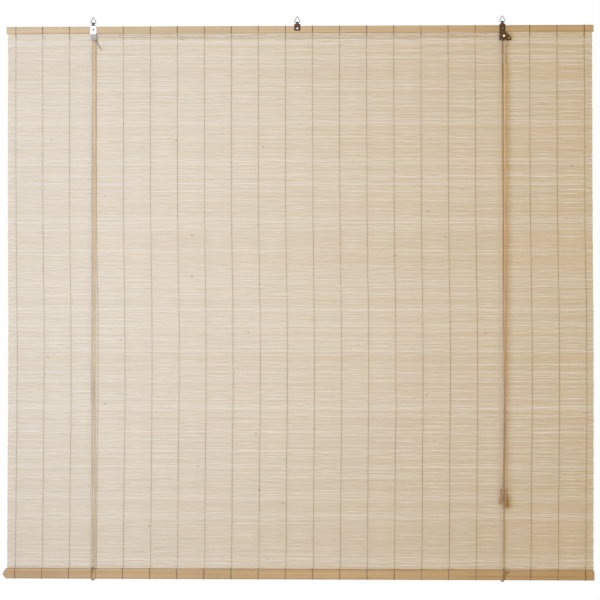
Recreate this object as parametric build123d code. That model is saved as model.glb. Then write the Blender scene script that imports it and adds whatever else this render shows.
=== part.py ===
from build123d import *
from math import degrees, radians, tan
import os

# A bamboo roll-up blind: a reed mat between two bamboo rails, hung by three rings and raised by two cords.
# Millimetres. The origin is the hook point inside the middle ring, -Y is the front, +X the right.

# Whole blind
mat_width = 1800.0
blind_drop = 1702.0
hook_rise = 27.0
hanger_inset = 270.0
mat_shift = 5.0

# Clearances
run_clear = 0.05
slot_clear = 0.08
side_clear = 0.3
cord_clear = 0.4
overrun = 5.0

# Top rail
top_rail_overhang = 4.0
top_rail_height = 21.5
top_rail_depth = 8.0
top_rail_round = 2.5

# Bottom rail, with a pointed left end
bottom_rail_left = 13.0
bottom_rail_right = 3.0
bottom_rail_height = 32.0
bottom_rail_depth = 12.6
bottom_rail_round = 5.0
bottom_rail_point = 10.0
bottom_rail_corner = 6.0
point_height_share = 0.45

# Mat and its warp threads
ridge_count = 236
ridges_per_gap = 2
stick_depth = 2.2
wall_depth = 1.2
gap_height = 1.0
stick_slope_share = 0.28
thread_count = 22
thread_width = 2.0
thread_depth = 0.6
selvage = 24.6

# Rings
ring_wire = 2.0
ring_bar_drop = 16.5
ring_half_width = 8.0
ring_corner_round = 3.4
ring_top_round = 1.6

# Hanger plates
sheet = 1.2
eye_width = 8.4
left_plate_width = 19.0
left_plate_rise = 3.5
left_plate_drop = 25.0
middle_plate_width = 20.0
middle_plate_rise = 5.5
middle_plate_drop = 15.5
lock_plate_width = 18.5
lock_plate_rise = 4.0
lock_plate_drop = 47.4
plate_corner_round = 1.5
shoulder_round_share = 0.24

# Screws
screw_radius = 1.4
screw_length = 7.0
screw_head_radius = 2.6
screw_head_height = 1.6
screw_head_bevel = 0.7
middle_screw_drop = 8.3
outer_screw_drop = 10.2

# Pulley housings
axle_shift = 3.0
axle_drop = 36.0
axle_radius = 1.6
rivet_head_radius = 2.8
rivet_head_height = 0.8
left_housing_width = 15.5
left_housing_shift = 2.5
left_housing_top_drop = 24.0
left_housing_drop = 45.0
left_housing_round = 5.0
lock_housing_top_drop = 22.0
lock_flare_start = 9.25
lock_flare_end = 26.5
lock_flare_top_drop = 21.0
lock_flare_bottom_drop = 43.5
lock_corner_round = 2.5

# Sheaves
sheave_width = 6.4
sheave_rim = 6.8
sheave_lip = 0.6
groove_floor = 3.6
groove_line = 6.0

# Locking roller, in slots along the flare
roller_radius = 3.0
journal_radius = 1.5
roller_travel = 7.5
roller_lock_drop = 1.0

# Cords and tassels
cord = 4.0
wrap_lead = 6.0
sling_rise = 5.0
sling_bend = 6.4
tail_shift = 6.6
tail_stand = 0.8
tail_tie_lead = 5.0
tail_tie_drop = 18.0
tail_bend = 8.0
left_back_shift = 8.0
right_back_shift = -8.0
left_tassel_place = -11.0
right_tassel_place = 6.0
tassel_stand = 16.0
left_knot_drop = 1421.0
right_knot_drop = 1420.0
pull_lead = 60.0
pull_bend_share = 0.45
knot_radius = 4.6
knot_height = 11.0
knot_bulge_share = 0.3
brush_neck = 2.6
left_brush_radius = 5.4
left_brush_length = 37.0
right_brush_radius = 7.2
right_brush_length = 50.0

# Cord fixings on the back of the top rail
staple_wire = 0.9
staple_height = 1.6
staple_bite = 4.5
staple_drop = 11.0
back_knot_radius = 3.2
back_knot_height = 5.0

# Heights
rail_top = -hook_rise
top_rail_bottom = rail_top - top_rail_height
blind_bottom = rail_top - blind_drop
bottom_rail_top = blind_bottom + bottom_rail_height
mat_top = top_rail_bottom - thread_depth
mat_bottom = bottom_rail_top + thread_depth + side_clear
axle_height = rail_top - axle_drop
ring_bar = -ring_bar_drop

# Depths
eye_radius = ring_wire / 2 + run_clear + sheet
plate_front = -eye_radius
rail_front = plate_front + sheet
rail_back = rail_front + top_rail_depth
mat_plane = rail_front + top_rail_depth / 2
back_groove = plate_front - side_clear - sheave_width / 2
front_groove = back_groove - sheave_width - side_clear
left_cheek = back_groove - sheave_width / 2 - side_clear
lock_cheek = front_groove - sheave_width / 2 - side_clear
back_run = mat_plane + bottom_rail_depth / 2 + cord_clear + cord / 2

# Places across the width
mat_left = mat_shift - mat_width / 2
hanger_spacing = mat_width / 2 - hanger_inset
left_axle = -hanger_spacing + axle_shift
lock_axle = hanger_spacing + axle_shift
thread_pitch = (mat_width - 2 * selvage) / (thread_count - 1)
thread_places = [mat_left + selvage + i * thread_pitch for i in range(thread_count)]


def facing(depth):
    return Plane(origin=(0, depth, 0), x_dir=(1, 0, 0), z_dir=(0, -1, 0))


def pin(x, z, radius, back, front):
    return extrude(facing(back) * Pos(x, z) * Circle(radius), amount=back - front)


def block(width, depth, height, x, y, z):
    return Pos(x, y, z) * Box(width, depth, height)


def save(shape, name):
    os.makedirs("parts", exist_ok=True)
    export_step(shape, f"parts/{name}.step")


# Wire or cord along straight runs and tangent arcs
def bent_wire(path, radius):
    spans = []
    for edge in path.edges():
        section = Plane(origin=edge @ 0, z_dir=edge % 0) * Circle(radius)
        if edge.geom_type == GeomType.LINE:
            spans.append(extrude(section, amount=edge.length))
        else:
            axis = Axis(edge.arc_center, (edge @ 0 - edge.arc_center).cross(edge % 0))
            spans.append(revolve(section, axis, degrees(edge.length / edge.radius)))
    return Part() + spans


# Screws, which also cut their pilot holes in the top rail
def screw(x, drop):
    z = rail_top - drop
    shank = pin(x, z, screw_radius, plate_front + screw_length, plate_front)
    head = pin(x, z, screw_head_radius, plate_front, plate_front - screw_head_height)
    rim = head.edges().filter_by(GeomType.CIRCLE).sort_by(Axis.Y)[0]
    return shank + chamfer(rim, screw_head_bevel)


def pilot(x, drop):
    z = rail_top - drop
    return pin(x, z, screw_radius + run_clear, plate_front + screw_length + side_clear, plate_front - overrun)


# Staples that hold the cords' fixed ends
def staple(x):
    inner = cord + 2 * side_clear
    crown_back = rail_back + cord + side_clear + staple_wire
    z = rail_top - staple_drop
    outside = block(
        inner + 2 * staple_wire, crown_back - rail_back + staple_bite, staple_height,
        x, (crown_back + rail_back - staple_bite) / 2, z,
    )
    inside_front = rail_back - staple_bite - overrun
    inside_back = crown_back - staple_wire
    inside = block(
        inner, inside_back - inside_front, staple_height + overrun,
        x, (inside_back + inside_front) / 2, z,
    )
    return outside - inside


screw_places = [
    (-hanger_spacing, outer_screw_drop),
    (0, middle_screw_drop),
    (hanger_spacing, outer_screw_drop),
]
hanger_widths = {
    -hanger_spacing: left_plate_width,
    0: middle_plate_width,
    hanger_spacing: lock_plate_width,
}
front_runs = {"left": left_axle - groove_line, "right": lock_axle - groove_line}
back_runs = {"left": front_runs["left"] + left_back_shift, "right": front_runs["right"] + right_back_shift}
staples = {side: staple(x) for side, x in back_runs.items()}


# Rails
def rounded_lath(length, depth, height, edge_round):
    section = Plane.YZ * RectangleRounded(depth, height, edge_round)
    return Pos(-length / 2, 0, 0) * extrude(section, amount=length)


def top_rail():
    length = mat_width + 2 * top_rail_overhang
    lath = rounded_lath(length, top_rail_depth, top_rail_height, top_rail_round)
    rail = Pos(mat_shift, mat_plane, rail_top - top_rail_height / 2) * lath
    return rail - [pilot(*place) for place in screw_places] - list(staples.values())


def bottom_rail():
    left = mat_left - bottom_rail_left
    right = mat_left + mat_width + bottom_rail_right
    middle = blind_bottom + bottom_rail_height / 2
    lath = rounded_lath(right - left, bottom_rail_depth, bottom_rail_height, bottom_rail_round)
    tip = blind_bottom + bottom_rail_height * point_height_share
    outline = Polyline(
        (left, tip), (left + bottom_rail_point, blind_bottom), (right, blind_bottom),
        (right, bottom_rail_top), (left + bottom_rail_point, bottom_rail_top), close=True,
    )
    front = make_face(outline)
    corner = front.vertices().sort_by(Axis.X)[-2:].sort_by(Axis.Y)[-1]
    front = fillet(corner, bottom_rail_corner)
    mask = extrude(facing(mat_plane + bottom_rail_depth) * front, amount=2 * bottom_rail_depth)
    return (Pos((left + right) / 2, mat_plane, middle) * lath) & mask


# Mat: a ridged wall with through gaps between the outer threads
def ridge_line(side, heights):
    valley = mat_plane + side * wall_depth / 2
    crest = mat_plane + side * stick_depth / 2
    slope = (heights[1] - heights[0]) * stick_slope_share
    points = [(0, valley, heights[0])]
    for low, high in zip(heights, heights[1:]):
        points += [(0, crest, low + slope), (0, crest, high - slope), (0, valley, high)]
    return points


def bamboo_mat():
    pitch = (mat_top - mat_bottom) / ridge_count
    heights = [mat_bottom + i * pitch for i in range(ridge_count + 1)]
    outline = ridge_line(-1, heights) + ridge_line(1, heights)[::-1]
    section = make_face(Polyline(*outline, close=True))
    wall = Pos(mat_left, 0, 0) * extrude(section, amount=mat_width, dir=(1, 0, 0))
    gap_width = mat_width - 2 * selvage
    gap_depth = stick_depth + overrun
    valleys = heights[ridges_per_gap:-1:ridges_per_gap]
    return wall - [block(gap_width, gap_depth, gap_height, mat_shift, mat_plane, z) for z in valleys]


def warp_threads():
    offset = (stick_depth + thread_depth) / 2
    height = mat_top - mat_bottom
    middle = (mat_top + mat_bottom) / 2
    return Compound([
        block(thread_width, thread_depth, height, x, mat_plane + side * offset, middle)
        for x in thread_places for side in (-1, 1)
    ])


# Bindings: the warp threads' turns round the rails, open at the front under a hanger plate
def binding(x, depth, height, middle):
    outside = block(thread_width, depth + 2 * thread_depth, height + 2 * thread_depth, x, mat_plane, middle)
    return outside - block(thread_width + overrun, depth, height, x, mat_plane, middle)


def top_rail_bindings():
    middle = rail_top - top_rail_height / 2
    opening = Box(thread_width + overrun, 2 * thread_depth, top_rail_height + 2 * overrun)
    turns = []
    for x in thread_places:
        turn = binding(x, top_rail_depth, top_rail_height, middle)
        for plate, width in hanger_widths.items():
            if abs(x - plate) < (width + thread_width) / 2 + side_clear:
                turn -= Pos(x, rail_front - thread_depth, middle) * opening
        turns.append(turn)
    return Compound(turns)


def bottom_rail_bindings():
    middle = blind_bottom + bottom_rail_height / 2
    return Compound([binding(x, bottom_rail_depth, bottom_rail_height, middle) for x in thread_places])


# Rings
def ring():
    top = Pos(0, ring_wire / 2 - ring_top_round) * Circle(ring_top_round)
    corner_height = ring_bar + ring_corner_round
    corner_place = ring_half_width - ring_corner_round
    corners = [Pos(side * corner_place, corner_height) * Circle(ring_corner_round) for side in (-1, 1)]
    outline = make_hull((top + corners).edges())
    return bent_wire((facing(0) * outline).wire(), ring_wire / 2)


# Hanger plates
def with_neck(body, x, width, rise):
    shoulder = rail_top + rise
    neck = Pos(x, (ring_bar + rail_top) / 2) * Rectangle(eye_width, ring_bar - rail_top)
    outline = body + neck
    corners = [v for v in outline.vertices() if abs(v.Y - shoulder) < side_clear]
    return fillet(corners, (width - eye_width) * shoulder_round_share)


def rolled_plate(outline, x, screw_drop):
    plate = extrude(facing(rail_front) * outline, amount=sheet)
    eye = Pos(x, 0, ring_bar) * Rot(0, 90, 0) * Cylinder(eye_radius, eye_width)
    bore = Pos(x, 0, ring_bar) * Rot(0, 90, 0) * Cylinder(ring_wire / 2 + run_clear, eye_width + overrun)
    hole = pin(x, rail_top - screw_drop, screw_radius + run_clear, rail_back, plate_front - overrun)
    return plate + eye - bore - hole


def rectangle_between(x, width, top_drop, bottom_drop):
    return Pos(x, rail_top - (top_drop + bottom_drop) / 2) * Rectangle(width, bottom_drop - top_drop)


def middle_hanger_plate():
    body = rectangle_between(0, middle_plate_width, -middle_plate_rise, middle_plate_drop)
    body = fillet(body.vertices().group_by(Axis.Y)[0], plate_corner_round)
    return rolled_plate(with_neck(body, 0, middle_plate_width, middle_plate_rise), 0, middle_screw_drop)


def cheek_and_web(outline, cheek_back, x, width, top_drop):
    cheek = extrude(facing(cheek_back) * outline, amount=sheet)
    web_depth = plate_front - cheek_back + sheet
    web = block(width, web_depth, sheet, x, plate_front - web_depth / 2, rail_top - top_drop - sheet / 2)
    return cheek + web


def axle_hole(x, cheek_back):
    return pin(x, axle_height, axle_radius + run_clear, rail_front + overrun, cheek_back - overrun)


def left_pulley_bracket():
    x = -hanger_spacing
    housing_x = x + left_housing_shift
    body = rectangle_between(x, left_plate_width, -left_plate_rise, left_plate_drop)
    body = fillet(body.vertices().group_by(Axis.Y)[0], plate_corner_round)
    housing = rectangle_between(housing_x, left_housing_width, left_housing_top_drop, left_housing_drop)
    housing = fillet(housing.vertices().group_by(Axis.Y)[0], left_housing_round)
    plate = rolled_plate(with_neck(body + housing, x, left_plate_width, left_plate_rise), x, outer_screw_drop)
    plate += cheek_and_web(housing, left_cheek, housing_x, left_housing_width, left_housing_top_drop)
    return plate - axle_hole(left_axle, left_cheek)


def lock_outline(x, top_drop):
    left = x - lock_plate_width / 2
    top = rail_top - top_drop
    start = x + lock_flare_start
    end = x + lock_flare_end
    bottom = rail_top - lock_plate_drop
    points = [(left, bottom), (left, top), (start, top)]
    flare_top = rail_top - lock_flare_top_drop
    if flare_top < top:
        points.append((start, flare_top))
    points += [(end, rail_top - lock_flare_bottom_drop), (end, bottom)]
    outline = make_face(Polyline(*points, close=True))
    return fillet(outline.vertices().group_by(Axis.Y)[0], lock_corner_round)


flare_run = Vector(
    lock_flare_end - lock_flare_start, lock_flare_top_drop - lock_flare_bottom_drop
).normalized()
roller_locked = Vector(
    lock_axle + groove_line + cord / 2 + side_clear + roller_radius, axle_height - roller_lock_drop
)
roller_rest = roller_locked + flare_run * roller_travel


def cord_lock_bracket():
    x = hanger_spacing
    outline = with_neck(lock_outline(x, -lock_plate_rise), x, lock_plate_width, lock_plate_rise)
    plate = rolled_plate(outline, x, outer_screw_drop)
    cheek = lock_outline(x, lock_housing_top_drop)
    plate += cheek_and_web(cheek, lock_cheek, x, lock_plate_width, lock_housing_top_drop)
    plate -= axle_hole(lock_axle, lock_cheek)
    slot = SlotCenterToCenter(roller_travel, 2 * (journal_radius + slot_clear))
    middle = (roller_locked + roller_rest) / 2
    angle = Vector(1, 0).get_signed_angle(flare_run, Vector(0, 0, 1))
    slot = facing(rail_front + overrun) * Pos(middle.X, middle.Y) * Rot(0, 0, angle) * slot
    return plate - extrude(slot, amount=rail_front - lock_cheek + 2 * overrun)


# Axles are rivets through both cheeks
def axle(x, cheek_back):
    cheek_front = cheek_back - sheet
    shaft = pin(x, axle_height, axle_radius, rail_front, cheek_front)
    back_head = pin(x, axle_height, rivet_head_radius, rail_front + rivet_head_height, rail_front)
    front_head = pin(x, axle_height, rivet_head_radius, cheek_front, cheek_front - rivet_head_height)
    return shaft + back_head + front_head


def sheave(x, depth):
    half = sheave_width / 2
    bore = axle_radius + run_clear
    floor = groove_line - cord / 2 - side_clear
    profile = make_face(Polyline(
        (bore, -half), (sheave_rim, -half),
        (sheave_rim, sheave_lip - half), (floor, -groove_floor / 2),
        (floor, groove_floor / 2), (sheave_rim, half - sheave_lip),
        (sheave_rim, half), (bore, half), close=True,
    ))
    return Pos(x, depth, axle_height) * revolve(profile, Axis.Y)


def cord_lock_roller():
    x, z = roller_rest.X, roller_rest.Y
    barrel = pin(x, z, roller_radius, plate_front - side_clear, lock_cheek + side_clear)
    return barrel + pin(x, z, journal_radius, rail_front, lock_cheek - sheet)


# Cords
def tube(path):
    solid = bent_wire(path, cord / 2)
    print("cord volume share", round(solid.volume / (path.length * Circle(cord / 2).area), 4))
    return solid


sling_top = bottom_rail_top + sling_rise
sling_bottom = blind_bottom - cord_clear - cord / 2


def front_cord(side):
    x = front_runs[side]
    return tube(Wire([Line((x, back_groove, axle_height - wrap_lead), (x, back_groove, sling_top))]))


def cord_sling(side):
    x = front_runs[side]
    back_x = back_runs[side]
    return tube(FilletPolyline(
        (x, back_groove, sling_top), (x, back_groove, sling_bottom),
        (back_x, back_run, sling_bottom), (back_x, back_run, sling_top), radius=[sling_bend, sling_bend],
    ).wire())


# At the left the cord's tail is tied into the sling and led back up to the pulley
tail_run = front_runs["left"] + tail_shift
tail_depth = back_groove - tail_stand


def tail_tie():
    return tube(FilletPolyline(
        (tail_run, tail_depth, sling_top), (tail_run, tail_depth, sling_top - tail_tie_lead),
        (front_runs["left"], tail_depth, sling_top - tail_tie_drop), radius=[tail_bend],
    ).wire())


def left_tail_cord():
    top = axle_height - sheave_rim - side_clear
    return tube(Wire([Line((tail_run, tail_depth, top), (tail_run, tail_depth, sling_top))]))


def back_cord(side):
    foot = Vector(back_runs[side], back_run, sling_top)
    head = Vector(back_runs[side], rail_back + cord / 2 + run_clear, rail_top - staple_drop + staple_height)
    section = Plane(origin=foot, z_dir=(0, 0, 1)) * Circle(cord / 2)
    return extrude(section, amount=(head - foot).length, dir=head - foot)


def back_knot(side):
    z = rail_top - staple_drop + staple_height
    place = Pos(back_runs[side], rail_back + back_knot_radius + run_clear, z + back_knot_height / 2)
    return place * Cylinder(back_knot_radius, back_knot_height)


def bend_radius(before, corner, after):
    turn = (corner - before).get_angle(after - corner)
    shorter = min((corner - before).length, (after - corner).length)
    return pull_bend_share * shorter / tan(radians(turn / 2))


def pull_drop(depth, tassel, knot_drop):
    tassel_depth = mat_plane - tassel_stand - cord_clear
    start_x = lock_axle + groove_line
    return [
        Vector(start_x, depth, axle_height - wrap_lead),
        Vector(tassel, tassel_depth, rail_top - knot_drop + pull_lead),
        Vector(tassel, tassel_depth, rail_top - knot_drop),
    ]


left_drop = pull_drop(front_groove, lock_axle + left_tassel_place, left_knot_drop)
right_drop = pull_drop(back_groove, lock_axle + right_tassel_place, right_knot_drop)


def left_pull_cord():
    x = left_axle - groove_line
    crossing = axle_height + groove_line
    points = [
        Vector(x, back_groove, axle_height - wrap_lead),
        Vector(x, back_groove, crossing),
        Vector(lock_axle + groove_line, front_groove, crossing),
    ] + left_drop
    radii = [groove_line, groove_line]
    radii += [bend_radius(*points[i - 1:i + 2]) for i in (3, 4)]
    print("left pull cord radii", [round(r, 1) for r in radii])
    return tube(FilletPolyline(*points, radius=radii).wire())


def right_pull_cord():
    left = lock_axle - groove_line
    right = lock_axle + groove_line
    rise = Line((left, back_groove, axle_height - wrap_lead), (left, back_groove, axle_height))
    top = (lock_axle, back_groove, axle_height + groove_line)
    wrap = ThreePointArc((left, back_groove, axle_height), top, (right, back_groove, axle_height))
    points = [Vector(right, back_groove, axle_height)] + right_drop
    radii = [bend_radius(*points[i - 1:i + 2]) for i in (1, 2)]
    print("right pull cord radii", [round(r, 1) for r in radii])
    fall = FilletPolyline(*points, radius=radii)
    return tube(Wire([rise, wrap] + fall.edges()))


def tassel(drop, brush_radius, brush_length):
    knot_end = -knot_height
    brush_end = knot_end - brush_length
    profile = Polyline(
        (0, 0), (cord / 2, 0), (knot_radius, knot_end * knot_bulge_share),
        (knot_radius, knot_end - knot_end * knot_bulge_share), (brush_neck, knot_end),
        (brush_radius, brush_end), (0, brush_end), close=True,
    )
    return Pos(*drop[-1]) * revolve(Plane.XZ * make_face(profile), Axis.Z)


pieces = {
    "top_rail": top_rail(),
    "bottom_rail": bottom_rail(),
    "bamboo_mat": bamboo_mat(),
    "warp_threads": warp_threads(),
    "top_rail_bindings": top_rail_bindings(),
    "bottom_rail_bindings": bottom_rail_bindings(),
    "hanger_screws": Compound([screw(*place) for place in screw_places]),
    "left_ring": Pos(-hanger_spacing, 0, 0) * ring(),
    "middle_ring": ring(),
    "right_ring": Pos(hanger_spacing, 0, 0) * ring(),
    "middle_hanger_plate": middle_hanger_plate(),
    "left_pulley_bracket": left_pulley_bracket(),
    "left_sheave": sheave(left_axle, back_groove),
    "left_axle": axle(left_axle, left_cheek),
    "cord_lock_bracket": cord_lock_bracket(),
    "cord_lock_back_sheave": sheave(lock_axle, back_groove),
    "cord_lock_front_sheave": sheave(lock_axle, front_groove),
    "cord_lock_axle": axle(lock_axle, lock_cheek),
    "cord_lock_roller": cord_lock_roller(),
    "left_pull_cord": left_pull_cord(),
    "right_pull_cord": right_pull_cord(),
    "left_tassel": tassel(left_drop, left_brush_radius, left_brush_length),
    "right_tassel": tassel(right_drop, right_brush_radius, right_brush_length),
}
for side in ("left", "right"):
    pieces[f"{side}_front_cord"] = front_cord(side)
    pieces[f"{side}_cord_sling"] = cord_sling(side)
    pieces[f"{side}_back_cord"] = back_cord(side)
    pieces[f"{side}_back_knot"] = back_knot(side)
    pieces[f"{side}_staple"] = staples[side]
pieces["left_cord_sling"] += tail_tie()
pieces["left_tail_cord"] = left_tail_cord()

for name, shape in pieces.items():
    save(shape, name)
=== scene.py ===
import math

import bpy
import numpy as np
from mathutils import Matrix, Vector


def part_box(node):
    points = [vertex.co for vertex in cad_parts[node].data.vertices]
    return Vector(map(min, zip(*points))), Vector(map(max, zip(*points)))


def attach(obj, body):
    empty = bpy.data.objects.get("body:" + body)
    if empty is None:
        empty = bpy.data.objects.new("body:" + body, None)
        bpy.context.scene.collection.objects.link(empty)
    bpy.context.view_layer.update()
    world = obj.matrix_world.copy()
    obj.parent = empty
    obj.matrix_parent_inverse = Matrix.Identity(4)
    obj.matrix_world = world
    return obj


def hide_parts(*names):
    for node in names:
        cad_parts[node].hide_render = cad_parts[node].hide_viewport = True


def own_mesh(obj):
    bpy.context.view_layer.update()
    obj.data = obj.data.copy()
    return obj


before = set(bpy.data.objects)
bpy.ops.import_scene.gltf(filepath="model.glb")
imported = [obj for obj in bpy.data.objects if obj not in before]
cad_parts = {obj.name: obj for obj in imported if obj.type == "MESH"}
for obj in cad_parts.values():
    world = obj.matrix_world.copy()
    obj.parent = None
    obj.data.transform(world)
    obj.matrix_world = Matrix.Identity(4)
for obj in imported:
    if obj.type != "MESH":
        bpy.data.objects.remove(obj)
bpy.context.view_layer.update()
scene = bpy.context.scene
scene.view_settings.view_transform = "Standard"
mm = 0.001
print("frame loaded")


def rgb(red, green, blue):
    def toLinear(level):
        share = level / 255
        return share / 12.92 if share <= 0.04045 else ((share + 0.055) / 1.055) ** 2.4
    return (toLinear(red), toLinear(green), toLinear(blue), 1)


# node helpers, shared by the materials and the geometry trees
def put(tree, socket, value):
    if isinstance(value, bpy.types.NodeSocket):
        tree.links.new(value, socket)
    else:
        socket.default_value = value


def calc(tree, operation, *values, clamp=False):
    node = tree.nodes.new("ShaderNodeMath")
    node.operation = operation
    node.use_clamp = clamp
    for socket, value in zip(node.inputs, values):
        put(tree, socket, value)
    return node.outputs[0]


def plus(tree, first, second, clamp=False):
    return calc(tree, "ADD", first, second, clamp=clamp)


def minus(tree, first, second, clamp=False):
    return calc(tree, "SUBTRACT", first, second, clamp=clamp)


def times(tree, first, second):
    return calc(tree, "MULTIPLY", first, second)


def vector(tree, x, y, z):
    node = tree.nodes.new("ShaderNodeCombineXYZ")
    for socket, value in zip(node.inputs, (x, y, z)):
        put(tree, socket, value)
    return node.outputs[0]


def spread(tree, value, amount):
    return times(tree, minus(tree, value, 0.5), 2 * amount)


def noise(tree, place, scale, detail=2.0, rough=0.5):
    node = tree.nodes.new("ShaderNodeTexNoise")
    put(tree, node.inputs["Vector"], place)
    node.inputs["Scale"].default_value = scale
    node.inputs["Detail"].default_value = detail
    node.inputs["Roughness"].default_value = rough
    return node.outputs["Fac"]


def ramp(tree, value, stops):
    node = tree.nodes.new("ShaderNodeValToRGB")
    put(tree, node.inputs[0], value)
    items = node.color_ramp.elements
    for i, (place, colour) in enumerate(stops):
        item = items[i] if i < 2 else items.new(place)
        item.position = place
        item.color = colour
    return node.outputs[0]


def stretched(tree, x, y, z):
    coords = tree.nodes.new("ShaderNodeTexCoord")
    mapping = tree.nodes.new("ShaderNodeMapping")
    tree.links.new(coords.outputs["Object"], mapping.inputs["Vector"])
    mapping.inputs["Scale"].default_value = (x, y, z)
    return mapping.outputs[0]


def newMaterial(name):
    material = bpy.data.materials.new(name)
    material.use_nodes = True
    tree = material.node_tree
    return material, tree, tree.nodes["Principled BSDF"]


def bump(tree, shader, height, strength, distance):
    node = tree.nodes.new("ShaderNodeBump")
    node.inputs["Strength"].default_value = strength
    node.inputs["Distance"].default_value = distance
    put(tree, node.inputs["Height"], height)
    tree.links.new(node.outputs[0], shader.inputs["Normal"])


def attribute(tree, name):
    node = tree.nodes.new("ShaderNodeAttribute")
    node.attribute_name = name
    return node.outputs["Fac"]


def whiteNoise(tree, place):
    node = tree.nodes.new("ShaderNodeTexWhiteNoise")
    put(tree, node.inputs["Vector"], place)
    return node.outputs["Value"]


def tinted(tree, colour, tint):
    node = tree.nodes.new("ShaderNodeMix")
    node.data_type = "RGBA"
    node.blend_type = "MULTIPLY"
    node.inputs[0].default_value = 1.0
    put(tree, node.inputs[6], colour)
    put(tree, node.inputs[7], tint)
    return node.outputs[2]


def mixShaders(tree, share, first, second):
    node = tree.nodes.new("ShaderNodeMixShader")
    for socket, value in zip(node.inputs, (share, first, second)):
        put(tree, socket, value)
    return node.outputs[0]


# finishes
def reedFinish():
    material, tree, shader = newMaterial("reedBamboo")
    reed = attribute(tree, "reed")
    place = attribute(tree, "place")
    bay = calc(tree, "FLOOR", times(tree, plus(tree, place, 1.0), 0.5))

    def ownTone(shift):
        own = plus(tree, reed, shift)
        bayTone = whiteNoise(tree, vector(tree, bay, own, 3.0))
        run = vector(tree, times(tree, place, 0.9), times(tree, own, 3.17), 0.0)
        return plus(tree, spread(tree, bayTone, 0.045), spread(tree, noise(tree, run, 1.0, 2.0), 0.17))

    # a reed stands out from the ones above and below it
    beside = plus(tree, ownTone(-1.0), ownTone(1.0))
    total = minus(tree, ownTone(0.0), times(tree, beside, 0.42))
    grain = noise(tree, stretched(tree, 6.0, 900.0, 900.0), 1.0, 3.0)
    patch = noise(tree, stretched(tree, 1.3, 1.0, 2.2), 2.0, 2.0)
    total = plus(tree, plus(tree, total, 0.5), spread(tree, grain, 0.06))
    total = plus(tree, total, spread(tree, patch, 0.05))
    speckCell = vector(tree, calc(tree, "FLOOR", times(tree, place, 7.0)), reed, 8.0)
    speck = calc(tree, "GREATER_THAN", whiteNoise(tree, speckCell), 0.99975)
    total = minus(tree, total, times(tree, speck, 0.42), clamp=True)
    colour = ramp(tree, total, [
        (0.0, rgb(148, 126, 96)), (0.3, rgb(196, 180, 154)),
        (0.6, rgb(210, 196, 173)), (1.0, rgb(234, 223, 204)),
    ])
    tint = noise(tree, stretched(tree, 5.0, 1.0, 14.0), 1.0, 2.0)
    tintColour = ramp(tree, tint, [(0.3, (1.0, 0.985, 0.97, 1)), (0.7, (0.992, 0.998, 0.965, 1))])
    put(tree, shader.inputs["Base Color"], tinted(tree, colour, tintColour))
    put(tree, shader.inputs["Roughness"], plus(tree, 0.5, times(tree, grain, 0.25)))
    shader.inputs["Specular IOR Level"].default_value = 0.3
    bump(tree, shader, grain, 0.35, 0.0003)
    return material


def railFinish(name, deep, middle, pale, streakScale):
    material, tree, shader = newMaterial(name)
    fibre = noise(tree, stretched(tree, 1.6, streakScale, streakScale), 1.0, 4.0, 0.62)
    fine = noise(tree, stretched(tree, 9.0, 1500.0, 1500.0), 1.0, 2.0)
    patch = noise(tree, stretched(tree, 3.1, 9.0, 9.0), 1.0, 2.0)
    total = plus(tree, 0.5, spread(tree, fibre, 0.6))
    total = plus(tree, total, spread(tree, patch, 0.3))
    total = plus(tree, total, spread(tree, fine, 0.12), clamp=True)
    put(tree, shader.inputs["Base Color"], ramp(tree, total, [(0.0, deep), (0.5, middle), (1.0, pale)]))
    put(tree, shader.inputs["Roughness"], plus(tree, 0.42, times(tree, fibre, 0.3)))
    shader.inputs["Specular IOR Level"].default_value = 0.35
    bump(tree, shader, fibre, 0.4, 0.0006)
    return material


def threadFinish(name, dark, pale):
    material, tree, shader = newMaterial(name)
    slow = noise(tree, stretched(tree, 300.0, 300.0, 24.0), 1.0, 2.0)
    fibre = noise(tree, stretched(tree, 1400.0, 1400.0, 1400.0), 1.0, 2.0)
    total = plus(tree, times(tree, slow, 0.7), times(tree, fibre, 0.3))
    put(tree, shader.inputs["Base Color"], ramp(tree, total, [(0.3, dark), (0.7, pale)]))
    shader.inputs["Roughness"].default_value = 0.9
    shader.inputs["Sheen Weight"].default_value = 0.2
    bump(tree, shader, fibre, 0.6, 0.0002)
    return material


def cordFinish(name, dark, middle, pale):
    material, tree, shader = newMaterial(name)
    slow = noise(tree, stretched(tree, 40.0, 40.0, 9.0), 1.0, 2.0)
    fibre = noise(tree, stretched(tree, 1700.0, 1700.0, 1700.0), 1.0, 3.0)
    total = plus(tree, times(tree, slow, 0.6), times(tree, fibre, 0.4))
    put(tree, shader.inputs["Base Color"], ramp(tree, total, [(0.25, dark), (0.5, middle), (0.75, pale)]))
    shader.inputs["Roughness"].default_value = 0.82
    shader.inputs["Sheen Weight"].default_value = 0.25
    bump(tree, shader, fibre, 0.8, 0.0004)
    return material, tree, shader


def metalFinish(name, worn, base, deep, rough, scratch):
    material, tree, shader = newMaterial(name)
    cloud = noise(tree, stretched(tree, 160.0, 160.0, 160.0), 1.0, 4.0, 0.6)
    brush = noise(tree, stretched(tree, 420.0, 420.0, 4200.0), 1.0, 2.0)
    total = plus(tree, times(tree, cloud, 0.8), times(tree, brush, 0.2))
    put(tree, shader.inputs["Base Color"], ramp(tree, total, [(0.3, deep), (0.5, base), (0.72, worn)]))
    put(tree, shader.inputs["Roughness"], plus(tree, rough, times(tree, cloud, 0.22)))
    shader.inputs["Metallic"].default_value = 1.0
    bump(tree, shader, brush, scratch, 0.0001)
    return material, tree, shader


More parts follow.
